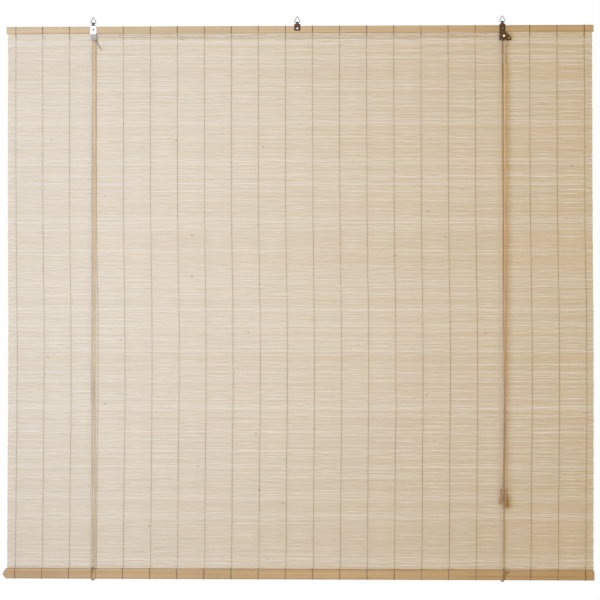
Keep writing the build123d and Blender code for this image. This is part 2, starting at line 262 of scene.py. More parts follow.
# multiplies a finish along one axis of the piece
def shadeAlong(made, axis, start, length, stops):
    _, tree, shader = made
    coords = tree.nodes.new("ShaderNodeTexCoord")
    split = tree.nodes.new("ShaderNodeSeparateXYZ")
    tree.links.new(coords.outputs["Object"], split.inputs[0])
    share = calc(tree, "DIVIDE", minus(tree, split.outputs[axis], start), length, clamp=True)
    under = shader.inputs["Base Color"].links[0].from_socket
    put(tree, shader.inputs["Base Color"], tinted(tree, under, ramp(tree, share, stops)))


def grey(level):
    return (level, level, level, 1)


nickel = metalFinish("brightNickel", rgb(200, 190, 170), rgb(180, 171, 154), rgb(146, 139, 126), 0.34, 0.15)
# the housing is painted darker than the plate above it, and the rolled neck is painted dark as painted shade
# in its fold
shadeAlong(nickel, "Z", -0.075, 0.06, [
    (0.0, grey(0.32)), (0.385, grey(0.42)), (0.41, grey(1.0)), (0.8, grey(1.0)), (0.85, grey(0.1)),
])
screwMetal = metalFinish("screwSteel", rgb(232, 230, 224), rgb(198, 195, 188), rgb(140, 136, 128), 0.26, 0.1)
# painted light and shade: the left screw is painted dark as painted shade, the middle one bright as a painted
# highlight and the right one between
shadeAlong(screwMetal, "X", -1.0, 2.0, [
    (0.24, grey(0.04)), (0.4, grey(1.0)), (0.6, grey(1.0)), (0.76, grey(0.25)),
])

pullCord = cordFinish("pullCord", rgb(196, 170, 138), rgb(224, 203, 174), rgb(238, 221, 196))
# the run under the top rail is paler than the drop beside the lock
shadeAlong(pullCord, "X", 0.56, 0.08, [(0.0, (1, 1, 1, 1)), (1.0, (1.0, 0.85, 0.68, 1))])

slingCord = cordFinish("slingCord", rgb(124, 92, 58), rgb(160, 122, 80), rgb(186, 148, 106))
# painted shade, darker where it turns under the rail
shadeAlong(slingCord, "Z", -1.734, 0.01, [(0.0, grey(0.55)), (1.0, grey(1.0))])

finishes = {
    "reed": reedFinish(),
    "slingCord": slingCord[0],
    "topRail": railFinish(
        "topRailBamboo", rgb(162, 131, 88), rgb(183, 157, 118), rgb(198, 175, 139), 160.0),
    "bottomRail": railFinish(
        "bottomRailBamboo", rgb(154, 121, 77), rgb(179, 148, 105), rgb(194, 165, 122), 120.0),
    "thread": threadFinish("warpThread", rgb(150, 125, 90), rgb(184, 159, 120)),
    "binding": threadFinish("bindingThread", rgb(116, 92, 60), rgb(154, 126, 88)),
    "knot": threadFinish("threadKnot", rgb(112, 90, 62), rgb(152, 128, 96)),
    "looseThread": threadFinish("looseThread", rgb(52, 42, 34), rgb(88, 72, 56)),
    "cord": cordFinish("tanCord", rgb(168, 130, 88), rgb(204, 171, 128), rgb(226, 199, 160))[0],
    # paler and darker copies of the cord finish, as painted light and painted shade
    "litCord": cordFinish("litCord", rgb(192, 160, 120), rgb(226, 199, 160), rgb(240, 218, 184))[0],
    "pullCord": pullCord[0],
    "shadedCord": cordFinish("shadedCord", rgb(176, 138, 96), rgb(210, 172, 126), rgb(228, 194, 152))[0],
    "tassel": cordFinish("tasselFibre", rgb(150, 110, 66), rgb(194, 152, 102), rgb(228, 192, 146))[0],
    "ring": metalFinish("ringSteel", rgb(136, 135, 132), rgb(84, 83, 80), rgb(50, 48, 46), 0.28, 0.1)[0],
    "rivet": metalFinish(
        "rivetSteel", rgb(240, 238, 232), rgb(214, 211, 204), rgb(160, 156, 148), 0.24, 0.1)[0],
    "bronze": metalFinish("darkBronze", rgb(104, 84, 64), rgb(64, 51, 40), rgb(40, 32, 26), 0.36, 0.15)[0],
    "nickel": nickel[0],
    "screw": screwMetal[0],
    "brass": metalFinish("sheaveBrass", rgb(214, 182, 122), rgb(170, 134, 80), rgb(112, 86, 50), 0.3, 0.2)[0],
}
print("finishes made", len(finishes))


# mesh helpers
def addPiece(name, verts, faces, material):
    mesh = bpy.data.meshes.new(name)
    mesh.from_pydata(verts, [], faces)
    mesh.polygons.foreach_set("use_smooth", [True] * len(mesh.polygons))
    mesh.materials.append(material)
    mesh.update()
    piece = bpy.data.objects.new(name, mesh)
    scene.collection.objects.link(piece)
    return piece


def lineFrames(points):
    spots = np.array(points, float)
    steps = np.diff(spots, axis=0)
    lengths = np.linalg.norm(steps, axis=1)
    travel = np.concatenate([[0], np.cumsum(lengths)])
    ways = np.gradient(spots, axis=0)
    ways /= np.linalg.norm(ways, axis=1)[:, None]
    side = np.cross(ways[0], (0.3, 1.0, 0.2))
    side /= np.linalg.norm(side)
    sides = []
    for way in ways:
        side = side - way * np.dot(side, way)
        side /= np.linalg.norm(side)
        sides.append(side)
    sides = np.array(sides)
    return spots, travel, sides, np.cross(ways, sides)


def evenLine(points, step):
    spots, travel, _, _ = lineFrames(points)
    marks = np.linspace(0, travel[-1], max(3, int(travel[-1] / step) + 1))
    return np.stack([np.interp(marks, travel, spots[:, i]) for i in range(3)], axis=1)


def tubeFaces(rings, sides, start):
    faces = []
    for i in range(rings - 1):
        low = start + i * sides
        high = low + sides
        for j in range(sides):
            k = (j + 1) % sides
            faces.append((low + j, low + k, high + k, high + j))
    faces.append(tuple(start + j for j in reversed(range(sides))))
    faces.append(tuple(start + (rings - 1) * sides + j for j in range(sides)))
    return faces


def tube(points, radius, sides, start):
    spots, _, across, up = lineFrames(points)
    radius = np.broadcast_to(np.asarray(radius, float), (len(spots),))[:, None]
    turns = [2 * math.pi * j / sides for j in range(sides)]
    rings = np.stack([spots + radius * (math.cos(a) * across + math.sin(a) * up) for a in turns], axis=1)
    return rings.reshape(-1, 3).tolist(), tubeFaces(len(spots), sides, start)


def around(angle, across, up):
    return np.cos(angle)[:, None] * across + np.sin(angle)[:, None] * up


# strands laid round each other, each one a tube
def twisted(points, diameter, lay, start, strands=3, strandShare=0.255, sides=6, stepsPerTurn=8):
    line = evenLine(points, lay / stepsPerTurn)
    spots, travel, across, up = lineFrames(line)
    strandRadius = diameter * strandShare
    offset = diameter / 2 - strandRadius
    verts, faces = [], []
    for n in range(strands):
        angle = 2 * math.pi * (travel / lay + n / strands)
        centre = spots + offset * around(angle, across, up)
        rings = []
        for j in range(sides):
            turn = angle + 2 * math.pi * j / sides
            rings.append(centre + strandRadius * around(turn, across, up))
        verts += np.stack(rings, axis=1).reshape(-1, 3).tolist()
        faces += tubeFaces(len(spots), sides, start + n * len(spots) * sides)
    return verts, faces


# the smooth line through a cord's route
def readRoute(route):
    curve = bpy.data.curves.new("route", "CURVE")
    curve.dimensions = "3D"
    curve.resolution_u = 48
    spline = curve.splines.new("NURBS")
    spline.points.add(len(route) - 1)
    for point, place in zip(spline.points, route):
        point.co = (place[0] * mm, place[1] * mm, place[2] * mm, 1)
    spline.order_u = 3
    spline.use_endpoint_u = True
    holder = bpy.data.objects.new("route", curve)
    scene.collection.objects.link(holder)
    bpy.context.view_layer.update()
    mesh = bpy.data.meshes.new_from_object(holder.evaluated_get(bpy.context.evaluated_depsgraph_get()))
    points = [tuple(v.co) for v in mesh.vertices]
    bpy.data.objects.remove(holder)
    bpy.data.meshes.remove(mesh)
    return points


# geometry trees, each with a seed and a finish among its inputs
def newTree(name, counts, sizes, places=()):
    tree = bpy.data.node_groups.new(name, "GeometryNodeTree")
    tree.interface.new_socket("Geometry", in_out="OUTPUT", socket_type="NodeSocketGeometry")
    kinds = {"Int": (*counts, "Seed"), "Float": sizes, "Vector": places, "Material": ("Finish",)}
    for kind, labels in kinds.items():
        for label in labels:
            tree.interface.new_socket(label, in_out="INPUT", socket_type="NodeSocket" + kind)
    return tree, tree.nodes.new("NodeGroupInput").outputs


def add(tree, kind, settings=None, **sockets):
    node = tree.nodes.new(kind)
    for label, value in (settings or {}).items():
        setattr(node, label, value)
    for label, value in sockets.items():
        put(tree, node.inputs[label.replace("_", " ")], value)
    return node


# the same, for a node whose first output is all that is needed
def get(tree, kind, settings=None, **sockets):
    return add(tree, kind, settings, **sockets).outputs[0]


def store(tree, geometry, label, value):
    node = add(tree, "GeometryNodeStoreNamedAttribute", {"data_type": "FLOAT", "domain": "POINT"})
    put(tree, node.inputs["Geometry"], geometry)
    node.inputs["Name"].default_value = label
    put(tree, node.inputs["Value"], value)
    return node.outputs[0]


def named(tree, label):
    node = add(tree, "GeometryNodeInputNamedAttribute", {"data_type": "FLOAT"}, Name=label)
    return node.outputs["Attribute"]


def position(tree):
    spot = get(tree, "GeometryNodeInputPosition")
    return add(tree, "ShaderNodeSeparateXYZ", Vector=spot).outputs


# a value between low and high for each point, from the tree's own seed
def drawn(tree, given, low, high, extra):
    node = add(tree, "FunctionNodeRandomValue", {"data_type": "FLOAT"})
    put(tree, node.inputs[2], low)
    put(tree, node.inputs[3], high)
    put(tree, node.inputs["Seed"], plus(tree, given["Seed"], extra))
    return node.outputs[1]


def sweep(tree, line, sides, radius, **more):
    ring = get(tree, "GeometryNodeCurvePrimitiveCircle", Resolution=sides, Radius=radius)
    return get(tree, "GeometryNodeCurveToMesh", Curve=line, Profile_Curve=ring, Fill_Caps=True, **more)


def joined(tree, laid):
    node = tree.nodes.new("GeometryNodeJoinGeometry")
    for instances in laid:
        tree.links.new(instances, node.inputs[0])
    return get(tree, "GeometryNodeRealizeInstances", Geometry=node.outputs[0])


def endTree(tree, geometry, material):
    smooth = get(tree, "GeometryNodeSetShadeSmooth", Geometry=geometry)
    painted = get(tree, "GeometryNodeSetMaterial", Geometry=smooth, Material=material)
    tree.links.new(painted, tree.nodes.new("NodeGroupOutput").inputs[0])


# a tree's sizes in metres, from a piece's own millimetres
def inMetres(setup, *labels):
    values = {}
    for label in labels:
        words = label.split()
        values[label] = setup[words[0].lower() + "".join(words[1:]).title()] * mm
    return values


def grow(name, tree, values):
    piece = bpy.data.objects.new(name, bpy.data.meshes.new(name))
    scene.collection.objects.link(piece)
    modifier = piece.modifiers.new(name, "NODES")
    modifier.node_group = tree
    for item in tree.interface.items_tree:
        if item.item_type == "SOCKET" and item.in_out == "INPUT":
            modifier[item.identifier] = values[item.name]
    bpy.context.view_layer.update()
    graph = bpy.context.evaluated_depsgraph_get()
    mesh = bpy.data.meshes.new_from_object(
        piece.evaluated_get(graph), preserve_all_data_layers=True, depsgraph=graph)
    piece.modifiers.clear()
    piece.data = mesh
    mesh.name = name
    return piece


# camera at the photograph's angle
view = {
    "distance": 5.0, "azimuth": 1.3, "elevation": -0.7, "target": (0.0084, 0.0, -0.8715),
    "lens": 97.6, "sensor": 36,
}


def addCamera():
    turn = math.radians(view["azimuth"])
    target = Vector(view["target"])
    rise = math.radians(view["elevation"])
    back = Vector((math.sin(turn) * math.cos(rise), -math.cos(turn) * math.cos(rise), math.sin(rise)))
    camera = bpy.data.objects.new("camera", bpy.data.cameras.new("camera"))
    camera.data.lens = view["lens"]
    camera.data.sensor_width = view["sensor"]
    camera.location = target + back * view["distance"]
    camera.rotation_euler = (-back).to_track_quat("-Z", "Y").to_euler()
    scene.collection.objects.link(camera)
    scene.camera = camera


addCamera()

# cords, with the routes' points in millimetres
cordSizes = {"diameter": 4.0, "lay": 11.0}
grooveBack, grooveFront, tailDepth, tasselDepth = -5.75, -12.45, -6.55, -13.45
slingTop, slingFoot, backRun = -1692.0, -1731.4, 11.65

cordRoutes = {
    "leftPullCord": [
        (-633, grooveBack, -69), (-633, grooveBack, -57), (-609, -5.9, -57), (-300, -7.5, -61.6),
        (40, -9.3, -62.6), (330, -10.8, -61.6), (615, -12.3, -57), (639, grooveFront, -57),
        (639, grooveFront, -69), (637.6, -12.5, -93), (635.8, -12.6, -190), (635.8, -12.7, -460),
        (634.6, -12.9, -760), (632.8, -13.1, -1000), (631, -13.2, -1180), (629, -13.3, -1330),
        (627, tasselDepth, -1405), (622.6, tasselDepth, -1436), (622, tasselDepth, -1448),
    ],
    "rightPullCord": [
        (627, grooveBack, -69), (627, grooveBack, -63), (627, grooveBack, -57), (633, grooveBack, -56.4),
        (639, grooveBack, -57), (639, grooveBack, -63), (639, grooveBack, -69), (640.0, -6.6, -93),
        (641.4, -12.6, -182), (641.4, -12.5, -480), (640, -12.6, -800), (638.4, -12.8, -1100),
        (636.6, -13.1, -1300), (637.4, tasselDepth, -1387), (639, tasselDepth, -1447),
    ],
    "leftFrontCord": [
        (-633, grooveBack, -69), (-633, grooveBack, -93), (-634.2, -5.9, -620),
        (-633.6, -5.8, -1180), (-633, grooveBack, -1668), (-633, grooveBack, slingTop),
    ],
    "leftTailCord": [
        (-626.4, tailDepth, -70.1), (-626.4, tailDepth, -94), (-625.0, -6.3, -520),
        (-626.0, -6.7, -1100), (-624.8, tailDepth, -1668), (-626.4, tailDepth, slingTop),
    ],
    "rightFrontCord": [
        (627, grooveBack, -69), (627.6, grooveBack, -93), (630.2, -5.6, -560),
        (630.6, -5.9, -1120), (630.8, -5.8, -1560), (630.5, grooveBack, -1668), (630.5, grooveBack, slingTop),
    ],
    "leftBackCord": [
        (-625, 9.0, -36.4), (-625, 9.1, -60), (-626.5, 10.2, -700), (-624.4, 11.2, -1300),
        (-625, backRun, -1668), (-625, backRun, slingTop),
    ],
    "rightBackCord": [
        (619, 9.0, -36.4), (619, 9.1, -60), (620.2, 10.2, -640), (621.4, 11.1, -1240),
        (624, backRun, -1668), (624, backRun, slingTop),
    ],
}


# a sling passes from the front cord under the bottom rail to the back cord, and may lean in front
def slingRoute(front, back, lean):
    return [
        (front, grooveBack, slingTop), (front + lean, grooveBack, -1702),
        (front + lean * 0.8, grooveBack, -1714), (front, -5.9, slingFoot),
        (front * 0.65 + back * 0.35, 0.2, -1732.6), (front * 0.35 + back * 0.65, 5.7, -1732.6),
        (back, 11.8, slingFoot), (back, backRun, -1712), (back, backRun, slingTop),
    ]


cordRoutes["leftSling"] = slingRoute(-633, -625, 0)
cordRoutes["rightSling"] = slingRoute(630.5, 624, 4.6)
tieRoute = [
    (-626.4, tailDepth, slingTop), (-626.4, tailDepth, -1697), (-630.2, -6.7, -1704), (-632.8, -6.7, -1711),
]
spareEnd = [(635.6, -7.2, -1709), (637.6, -7.6, -1705.5), (642.0, -7.8, -1703.6), (647.4, -7.6, -1702)]

# each lift cord's node, the height that stays in place, and the share left when the blind is up
lifts = {
    "leftFrontCord": ("left_front_cord", -69.0, 0.0758),
    "rightFrontCord": ("right_front_cord", -69.0, 0.0758),
    "leftTailCord": ("left_tail_cord", -70.1, 0.0752),
    "leftBackCord": ("left_back_cord", -36.4, 0.0940),
    "rightBackCord": ("right_back_cord", -36.4, 0.0940),
}
# painted light and shade: the right front and right pull cords take a darker copy of the cord finish as
# painted shade beside the lit left pull cord, and the left cords a paler copy as painted light
cordTones = {
    "leftPullCord": "pullCord", "leftFrontCord": "litCord", "leftTailCord": "litCord",
    "rightFrontCord": "shadedCord", "rightPullCord": "shadedCord",
    "leftSling": "slingCord", "rightSling": "slingCord",
}
cordLines = {name: readRoute(route) for name, route in cordRoutes.items()}
ropes = {}


def makeRope(name, extraLines=()):
    diameter = cordSizes["diameter"] * mm
    lay = cordSizes["lay"] * mm
    verts, faces = twisted(cordLines[name], diameter, lay, 0)
    for line in extraLines:
        moreVerts, moreFaces = twisted(line, diameter, lay, len(verts))
        verts += moreVerts
        faces += moreFaces
    ropes[name] = addPiece(name, verts, faces, finishes[cordTones.get(name, "cord")])
    return ropes[name]


for name, (node, anchor, keep) in lifts.items():
    rope = makeRope(name)
    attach(rope, "headrail")
    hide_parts(node)
    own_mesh(rope)

leftSling = makeRope("leftSling", [readRoute(tieRoute)])
rightSling = makeRope("rightSling", [readRoute(spareEnd)])
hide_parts("left_cord_sling")
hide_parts("right_cord_sling")
for sling in (leftSling, rightSling):
    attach(sling, "bottom_rail")

leftPull = makeRope("leftPullCord")
rightPull = makeRope("rightPullCord")
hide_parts("left_pull_cord")
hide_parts("right_pull_cord")
for pull in (leftPull, rightPull):
    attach(pull, "headrail")
print("cords made", len(ropes))


# tassels: a wound knot and a brush of loose fibres
tassels = {
    "left": {
        "place": (622.0, tasselDepth, -1448.0), "radius": 5.4, "length": 37.0, "lean": -0.072, "seed": 3,
    },
    "right": {
        "place": (639.0, tasselDepth, -1447.0), "radius": 7.4, "length": 50.0, "lean": 0.012, "seed": 8,
    },
}
knotShape = {
    "height": 11.0, "radius": 2.7, "turns": 2.6, "inset": 1.5, "cordShare": 0.92, "lay": 9,
    "coreTop": 0.2, "coreRadii": (1.8, 2.4, 2.2), "coreSides": 8,
}
brush = {
    "fibres": 170, "fibreRadius": 0.45, "taper": 0.45, "neck": 1.6, "sway": 0.5, "waves": 1.3, "hold": 1.0,
}


def woundKnot(top, radius, height, turns, steps=40, slim=0.55):
    points = []
    for i in range(steps):
        share = i / (steps - 1)
        angle = 2 * math.pi * turns * share
        swell = radius * (slim + (1 - slim) * math.sin(math.pi * share))
        x = top[0] + swell * math.cos(angle)
        y = top[1] + swell * math.sin(angle)
        points.append((x, y, top[2] - height * share))
    return points


def brushTree():
    tree, given = newTree(
        "tasselBrush", ("Fibres",),
        ("Radius", "Length", "Neck", "Lean", "Sway", "Fibre radius", "Taper"), ("Place",))
    # one fibre, a unit long
    line = get(tree, "GeometryNodeCurvePrimitiveLine", Start=(0, 0, 0), End=(0, 0, -1))
    line = get(tree, "GeometryNodeResampleCurve", Curve=line, Count=7)
    down = add(tree, "GeometryNodeSplineParameter").outputs["Factor"]
    line = store(tree, line, "down", down)
    thin = minus(tree, 1.0, times(tree, down, given["Taper"]))
    fibre = sweep(tree, line, 4, given["Fibre radius"], Scale=thin)
    # each fibre draws its own direction, reach, length and bend
    points = get(tree, "GeometryNodePoints", Count=given["Fibres"], Position=given["Place"])
    draws = {"angle": (0.0, 2 * math.pi), "share": (0.0, 1.0), "reach": (0.75, 1.12), "long": (0.72, 1.0),
             "bend": (0.4, 1.0), "swing": (-1.0, 1.0)}
    for i, (label, (low, high)) in enumerate(draws.items()):
        points = store(tree, points, label, drawn(tree, given, low, high, i))
    laid = get(tree, "GeometryNodeInstanceOnPoints", Points=points, Instance=fibre)
    whole = get(tree, "GeometryNodeRealizeInstances", Geometry=laid)
    t, angle = named(tree, "down"), named(tree, "angle")
    share = calc(tree, "SQRT", named(tree, "share"))
    neck = times(tree, given["Neck"], share)
    reach = times(tree, times(tree, given["Radius"], share), named(tree, "reach"))
    out = times(tree, minus(tree, reach, neck), calc(tree, "POWER", t, named(tree, "bend")))
    out = plus(tree, out, neck)
    length = times(tree, given["Length"], named(tree, "long"))
    ripple = calc(tree, "SINE", times(tree, t, 2 * brush["waves"] * math.pi))
    wave = times(tree, times(tree, given["Sway"], named(tree, "swing")), ripple)
    sine, cosine = calc(tree, "SINE", angle), calc(tree, "COSINE", angle)
    lean = times(tree, times(tree, given["Lean"], length), times(tree, t, t))
    x = minus(tree, times(tree, out, cosine), times(tree, wave, sine))
    y = plus(tree, times(tree, out, sine), times(tree, wave, cosine))
    z = minus(tree, t, times(tree, length, t))
    shift = vector(tree, plus(tree, x, lean), y, z)
    whole = get(tree, "GeometryNodeSetPosition", Geometry=whole, Offset=shift)
    endTree(tree, whole, given["Finish"])
    return tree


def makeTassel(side, setup, tree):
    x, y, z = (value * mm for value in setup["place"])
    height, inset = knotShape["height"] * mm, knotShape["inset"] * mm
    knot = woundKnot((x, y, z - inset), knotShape["radius"] * mm, height - 2 * inset, knotShape["turns"])
    thick = cordSizes["diameter"] * knotShape["cordShare"] * mm
    verts, faces = twisted(knot, thick, knotShape["lay"] * mm, 0, stepsPerTurn=7)
    coreLine = [(x, y, z + knotShape["coreTop"] * mm), (x, y, z - height / 2), (x, y, z - height)]
    coreRadii = [radius * mm for radius in knotShape["coreRadii"]]
    core, coreFaces = tube(coreLine, coreRadii, knotShape["coreSides"], len(verts))
    wound = addPiece(side + "TasselKnot", verts + core, faces + coreFaces, finishes["tassel"])
    fibres = grow(side + "TasselBrush", tree, {
        "Fibres": brush["fibres"], "Place": (x, y, z - height + brush["hold"] * mm),
        **inMetres(setup, "Radius", "Length"), **inMetres(brush, "Neck", "Sway", "Fibre radius"),
        "Lean": setup["lean"], "Taper": brush["taper"], "Seed": setup["seed"], "Finish": finishes["tassel"],
    })
    for piece in (wound, fibres):
        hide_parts(side + "_tassel")
        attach(piece, "headrail")
    return [wound, fibres]


tasselTree = brushTree()
for side, pull in (("left", leftPull), ("right", rightPull)):
    makeTassel(side, tassels[side], tasselTree)

# knots behind the top rail
backKnots = {"drop": 0.6, "radius": 1.5, "height": 3.8, "turns": 2.2, "cord": 3.2, "lay": 8}
for name, node in (("leftBackKnot", "left_back_knot"), ("rightBackKnot", "right_back_knot")):
    low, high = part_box(node)
    middle = (low + high) / 2
    top = (middle.x, middle.y, high.z - backKnots["drop"] * mm)
    turnsLine = woundKnot(top, backKnots["radius"] * mm, backKnots["height"] * mm, backKnots["turns"])
    verts, faces = twisted(turnsLine, backKnots["cord"] * mm, backKnots["lay"] * mm, 0, stepsPerTurn=7)
    backKnot = addPiece(name, verts, faces, finishes["cord"])
    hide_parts(node)
    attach(backKnot, "headrail")
print("tassels and knots made")


# the reed mat
mat = {
    "left": -895.0, "width": 1800.0, "top": -49.1, "bottom": -1696.8, "plane": 2.95,
    "reeds": 412, "places": 45, "inset": 24.6, "halfDepth": 1.05, "halfHeight": 2.19,
    "depthRange": (0.82, 1.1), "heightRange": (0.86, 1.1), "pinch": 0.7, "bulgePower": 14.0,
    "wanderUp": 0.45, "wanderOut": 0.22, "bulge": 1.1, "slowWander": 0.5, "endJitter": 1.4, "sway": 2.4,
    "keep": 0.0893, "seed": 11,
}


# sideways sway of the hanging mat, 0 at the top and 1 at the bottom
swayPoints = [(0.0, 0.0), (0.25, 0.08), (0.42, 0.42), (0.63, 1.0), (0.8, 0.66), (1.0, 0.3)]


def swayAt(tree, given):
    fallen = minus(tree, given["Top"], position(tree)[2])
    share = calc(tree, "DIVIDE", fallen, minus(tree, given["Top"], given["Bottom"]), clamp=True)
    node = tree.nodes.new("ShaderNodeFloatCurve")
    curve = node.mapping.curves[0]
    while len(curve.points) < len(swayPoints):
        curve.points.new(0.5, 0.5)
    for point, place in zip(curve.points, swayPoints):
        point.location = place
    node.mapping.update()
    put(tree, node.inputs["Value"], share)
    return times(tree, node.outputs[0], given["Sway"])


def reedTree():
    tree, given = newTree(
        "reedMat", ("Reeds", "First reed", "Places"),
        ("Left", "Width", "Top", "Bottom", "Pitch", "Plane", "Inset", "Half bay", "Half depth", "Half height",
         "Wander up", "Wander out", "Bulge", "Slow wander", "End jitter", "Sway"))
    # one reed, with a place at each thread and half way between threads
    index = get(tree, "GeometryNodeInputIndex")
    line = get(tree, "GeometryNodeCurvePrimitiveLine", Start=(0, 0, 0), End=(1, 0, 0))
    line = get(tree, "GeometryNodeResampleCurve", Curve=line, Count=given["Places"])
    step = times(tree, minus(tree, index, 1.0), given["Half bay"])
    step = plus(tree, step, given["Inset"])
    step = calc(tree, "MINIMUM", calc(tree, "MAXIMUM", step, 0.0), given["Width"])
    spot = vector(tree, plus(tree, step, given["Left"]), 0.0, 0.0)
    line = get(tree, "GeometryNodeSetPosition", Geometry=line, Position=spot)
    line = store(tree, line, "place", index)
    reed = sweep(tree, line, 6, 1.0)

    # reeds one under another
    number = plus(tree, index, given["First reed"])
    height = times(tree, plus(tree, number, 0.5), given["Pitch"])
    height = minus(tree, given["Top"], height)
    points = get(tree, "GeometryNodePoints", Count=given["Reeds"],
                 Position=vector(tree, 0.0, given["Plane"], height))
    points = store(tree, points, "reed", number)
    thick = times(tree, drawn(tree, given, *mat["depthRange"], 1.0), given["Half depth"])
    tall = times(tree, drawn(tree, given, *mat["heightRange"], 2.0), given["Half height"])
    laid = get(tree, "GeometryNodeInstanceOnPoints", Points=points, Instance=reed,
               Scale=vector(tree, 1.0, thick, tall))
    whole = get(tree, "GeometryNodeRealizeInstances", Geometry=laid)

    # each reed wanders between the threads that pinch it
    place, own = named(tree, "place"), named(tree, "reed")
    white = add(tree, "ShaderNodeTexWhiteNoise", Vector=vector(tree, place, own, given["Seed"]))
    parts = add(tree, "ShaderNodeSeparateXYZ", Vector=white.outputs["Color"]).outputs
    atThread = calc(tree, "MODULO", place, 2.0)
    free = minus(tree, 1.0, times(tree, atThread, mat["pinch"]))
    up = times(tree, times(tree, spread(tree, parts[0], 1.0), given["Wander up"]), free)
    out = times(tree, spread(tree, parts[1], 1.0), given["Wander out"])
    out = minus(tree, out, times(tree, calc(tree, "POWER", parts[2], mat["bulgePower"]), given["Bulge"]))
    out = times(tree, out, free)
    slowPlace = vector(tree, times(tree, place, 0.12), times(tree, own, 0.21), 0.5)
    slow = spread(tree, noise(tree, slowPlace, 1.0, 2.0), 1.0)
    up = plus(tree, up, times(tree, slow, given["Slow wander"]))
    atEnd = plus(tree, calc(tree, "LESS_THAN", place, 0.5),
                 calc(tree, "GREATER_THAN", place, minus(tree, given["Places"], 1.5)))
    slide = times(tree, minus(tree, parts[2], 0.5), given["End jitter"])
    slide = plus(tree, times(tree, slide, atEnd), swayAt(tree, given))
    shift = vector(tree, slide, out, up)
    whole = get(tree, "GeometryNodeSetPosition", Geometry=whole, Offset=shift)
    endTree(tree, whole, given["Finish"])
    return tree


def makeMat():
    tree = reedTree()
    pitch = (mat["top"] - mat["bottom"]) / mat["reeds"]
    halfBay = (mat["width"] - 2 * mat["inset"]) / (mat["places"] - 3)
    half = mat["reeds"] // 2
    made = []
    for name, start in (("reedMatUpper", 0), ("reedMatLower", half)):
        piece = grow(name, tree, {
            "Reeds": half, "First reed": start, "Places": mat["places"],
            "Pitch": pitch * mm, "Half bay": halfBay * mm,
            **inMetres(mat, "Left", "Width", "Top", "Bottom", "Plane", "Inset", "Half depth", "Half height",
                       "Wander up", "Wander out", "Bulge", "Slow wander", "End jitter", "Sway"),
            "Seed": mat["seed"] + start, "Finish": finishes["reed"],
        })
        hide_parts("bamboo_mat")
        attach(piece, "headrail")
        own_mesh(piece)
        made.append(piece)
    return made


matPieces = makeMat()
print("mat made", [len(p.data.polygons) for p in matPieces])

# warp threads, front and back
warp = {
    "count": 22, "first": -870.4, "pitch": 83.371, "points": 300, "radius": 0.6, "front": 1.3, "back": 4.6,
    "wave": 0.22, "wander": 1.5, "sway": 6.0, "seed": 5,
}


def warpTree():
    tree, given = newTree(
        "warpThreads", ("Threads", "Points"),
        ("First", "Pitch", "Radius", "Front", "Back", "Top", "Bottom", "Wave", "Wander", "Sway"))
    index = get(tree, "GeometryNodeInputIndex")
    top, bottom = vector(tree, 0.0, 0.0, given["Top"]), vector(tree, 0.0, 0.0, given["Bottom"])
    line = get(tree, "GeometryNodeCurvePrimitiveLine", Start=top, End=bottom)
    line = get(tree, "GeometryNodeResampleCurve", Curve=line, Count=given["Points"])
    line = store(tree, line, "knot", index)
    strip = sweep(tree, line, 4, given["Radius"])
    number = calc(tree, "FLOOR", times(tree, index, 0.5))
    across = plus(tree, given["First"], times(tree, number, given["Pitch"]))
    odd = calc(tree, "MODULO", index, 2.0)
    depth = plus(tree, given["Front"], times(tree, odd, minus(tree, given["Back"], given["Front"])))
    points = get(tree, "GeometryNodePoints", Count=times(tree, given["Threads"], 2.0),
                 Position=vector(tree, across, depth, 0.0))
    points = store(tree, points, "thread", number)
    points = store(tree, points, "side", minus(tree, times(tree, odd, 2.0), 1.0))
    laid = get(tree, "GeometryNodeInstanceOnPoints", Points=points, Instance=strip)
    whole = get(tree, "GeometryNodeRealizeInstances", Geometry=laid)
    knot, own, side = named(tree, "knot"), named(tree, "thread"), named(tree, "side")
    inOut = times(tree, times(tree, calc(tree, "MODULO", knot, 2.0), given["Wave"]), side)
    white = whiteNoise(tree, vector(tree, knot, own, given["Seed"]))
    jitter = times(tree, minus(tree, white, 0.5), given["Wave"])
    slowPlace = vector(tree, times(tree, knot, 0.016), times(tree, own, 5.3), 0.0)
    slow = spread(tree, noise(tree, slowPlace, 1.0, 2.0), 1.0)
    slide = plus(tree, jitter, times(tree, slow, given["Wander"]))
    shift = vector(tree, plus(tree, slide, swayAt(tree, given)), inOut, 0.0)
    whole = get(tree, "GeometryNodeSetPosition", Geometry=whole, Offset=shift)
    endTree(tree, whole, given["Finish"])
    return tree


threads = grow("warpThreads", warpTree(), {
    "Threads": warp["count"], "Points": warp["points"], **inMetres(mat, "Top", "Bottom"),
    **inMetres(warp, "First", "Pitch", "Radius", "Front", "Back", "Wave", "Wander", "Sway"),
    "Seed": warp["seed"], "Finish": finishes["thread"],
})
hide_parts("warp_threads")
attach(threads, "headrail")
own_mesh(threads)
print("threads made", len(threads.data.polygons))

# bindings: each thread turns twice round a rail, and is open where a bracket covers it
binding = {"radius": 0.62, "stand": 0.56, "spacing": 1.1, "jitter": 0.25, "slant": 2.5, "seed": 21}
rails = {
    "topRailBindings": {
        "node": "top_rail_bindings", "body": "headrail", "depth": 8.0, "height": 21.5,
        "middle": -37.75, "corner": 2.5, "open": (3, 18),
    },
    "bottomRailBindings": {
        "node": "bottom_rail_bindings", "body": "bottom_rail", "depth": 12.6, "height": 32.0,
        "middle": -1713.0, "corner": 5.0, "open": (-1, -1),
    },
}


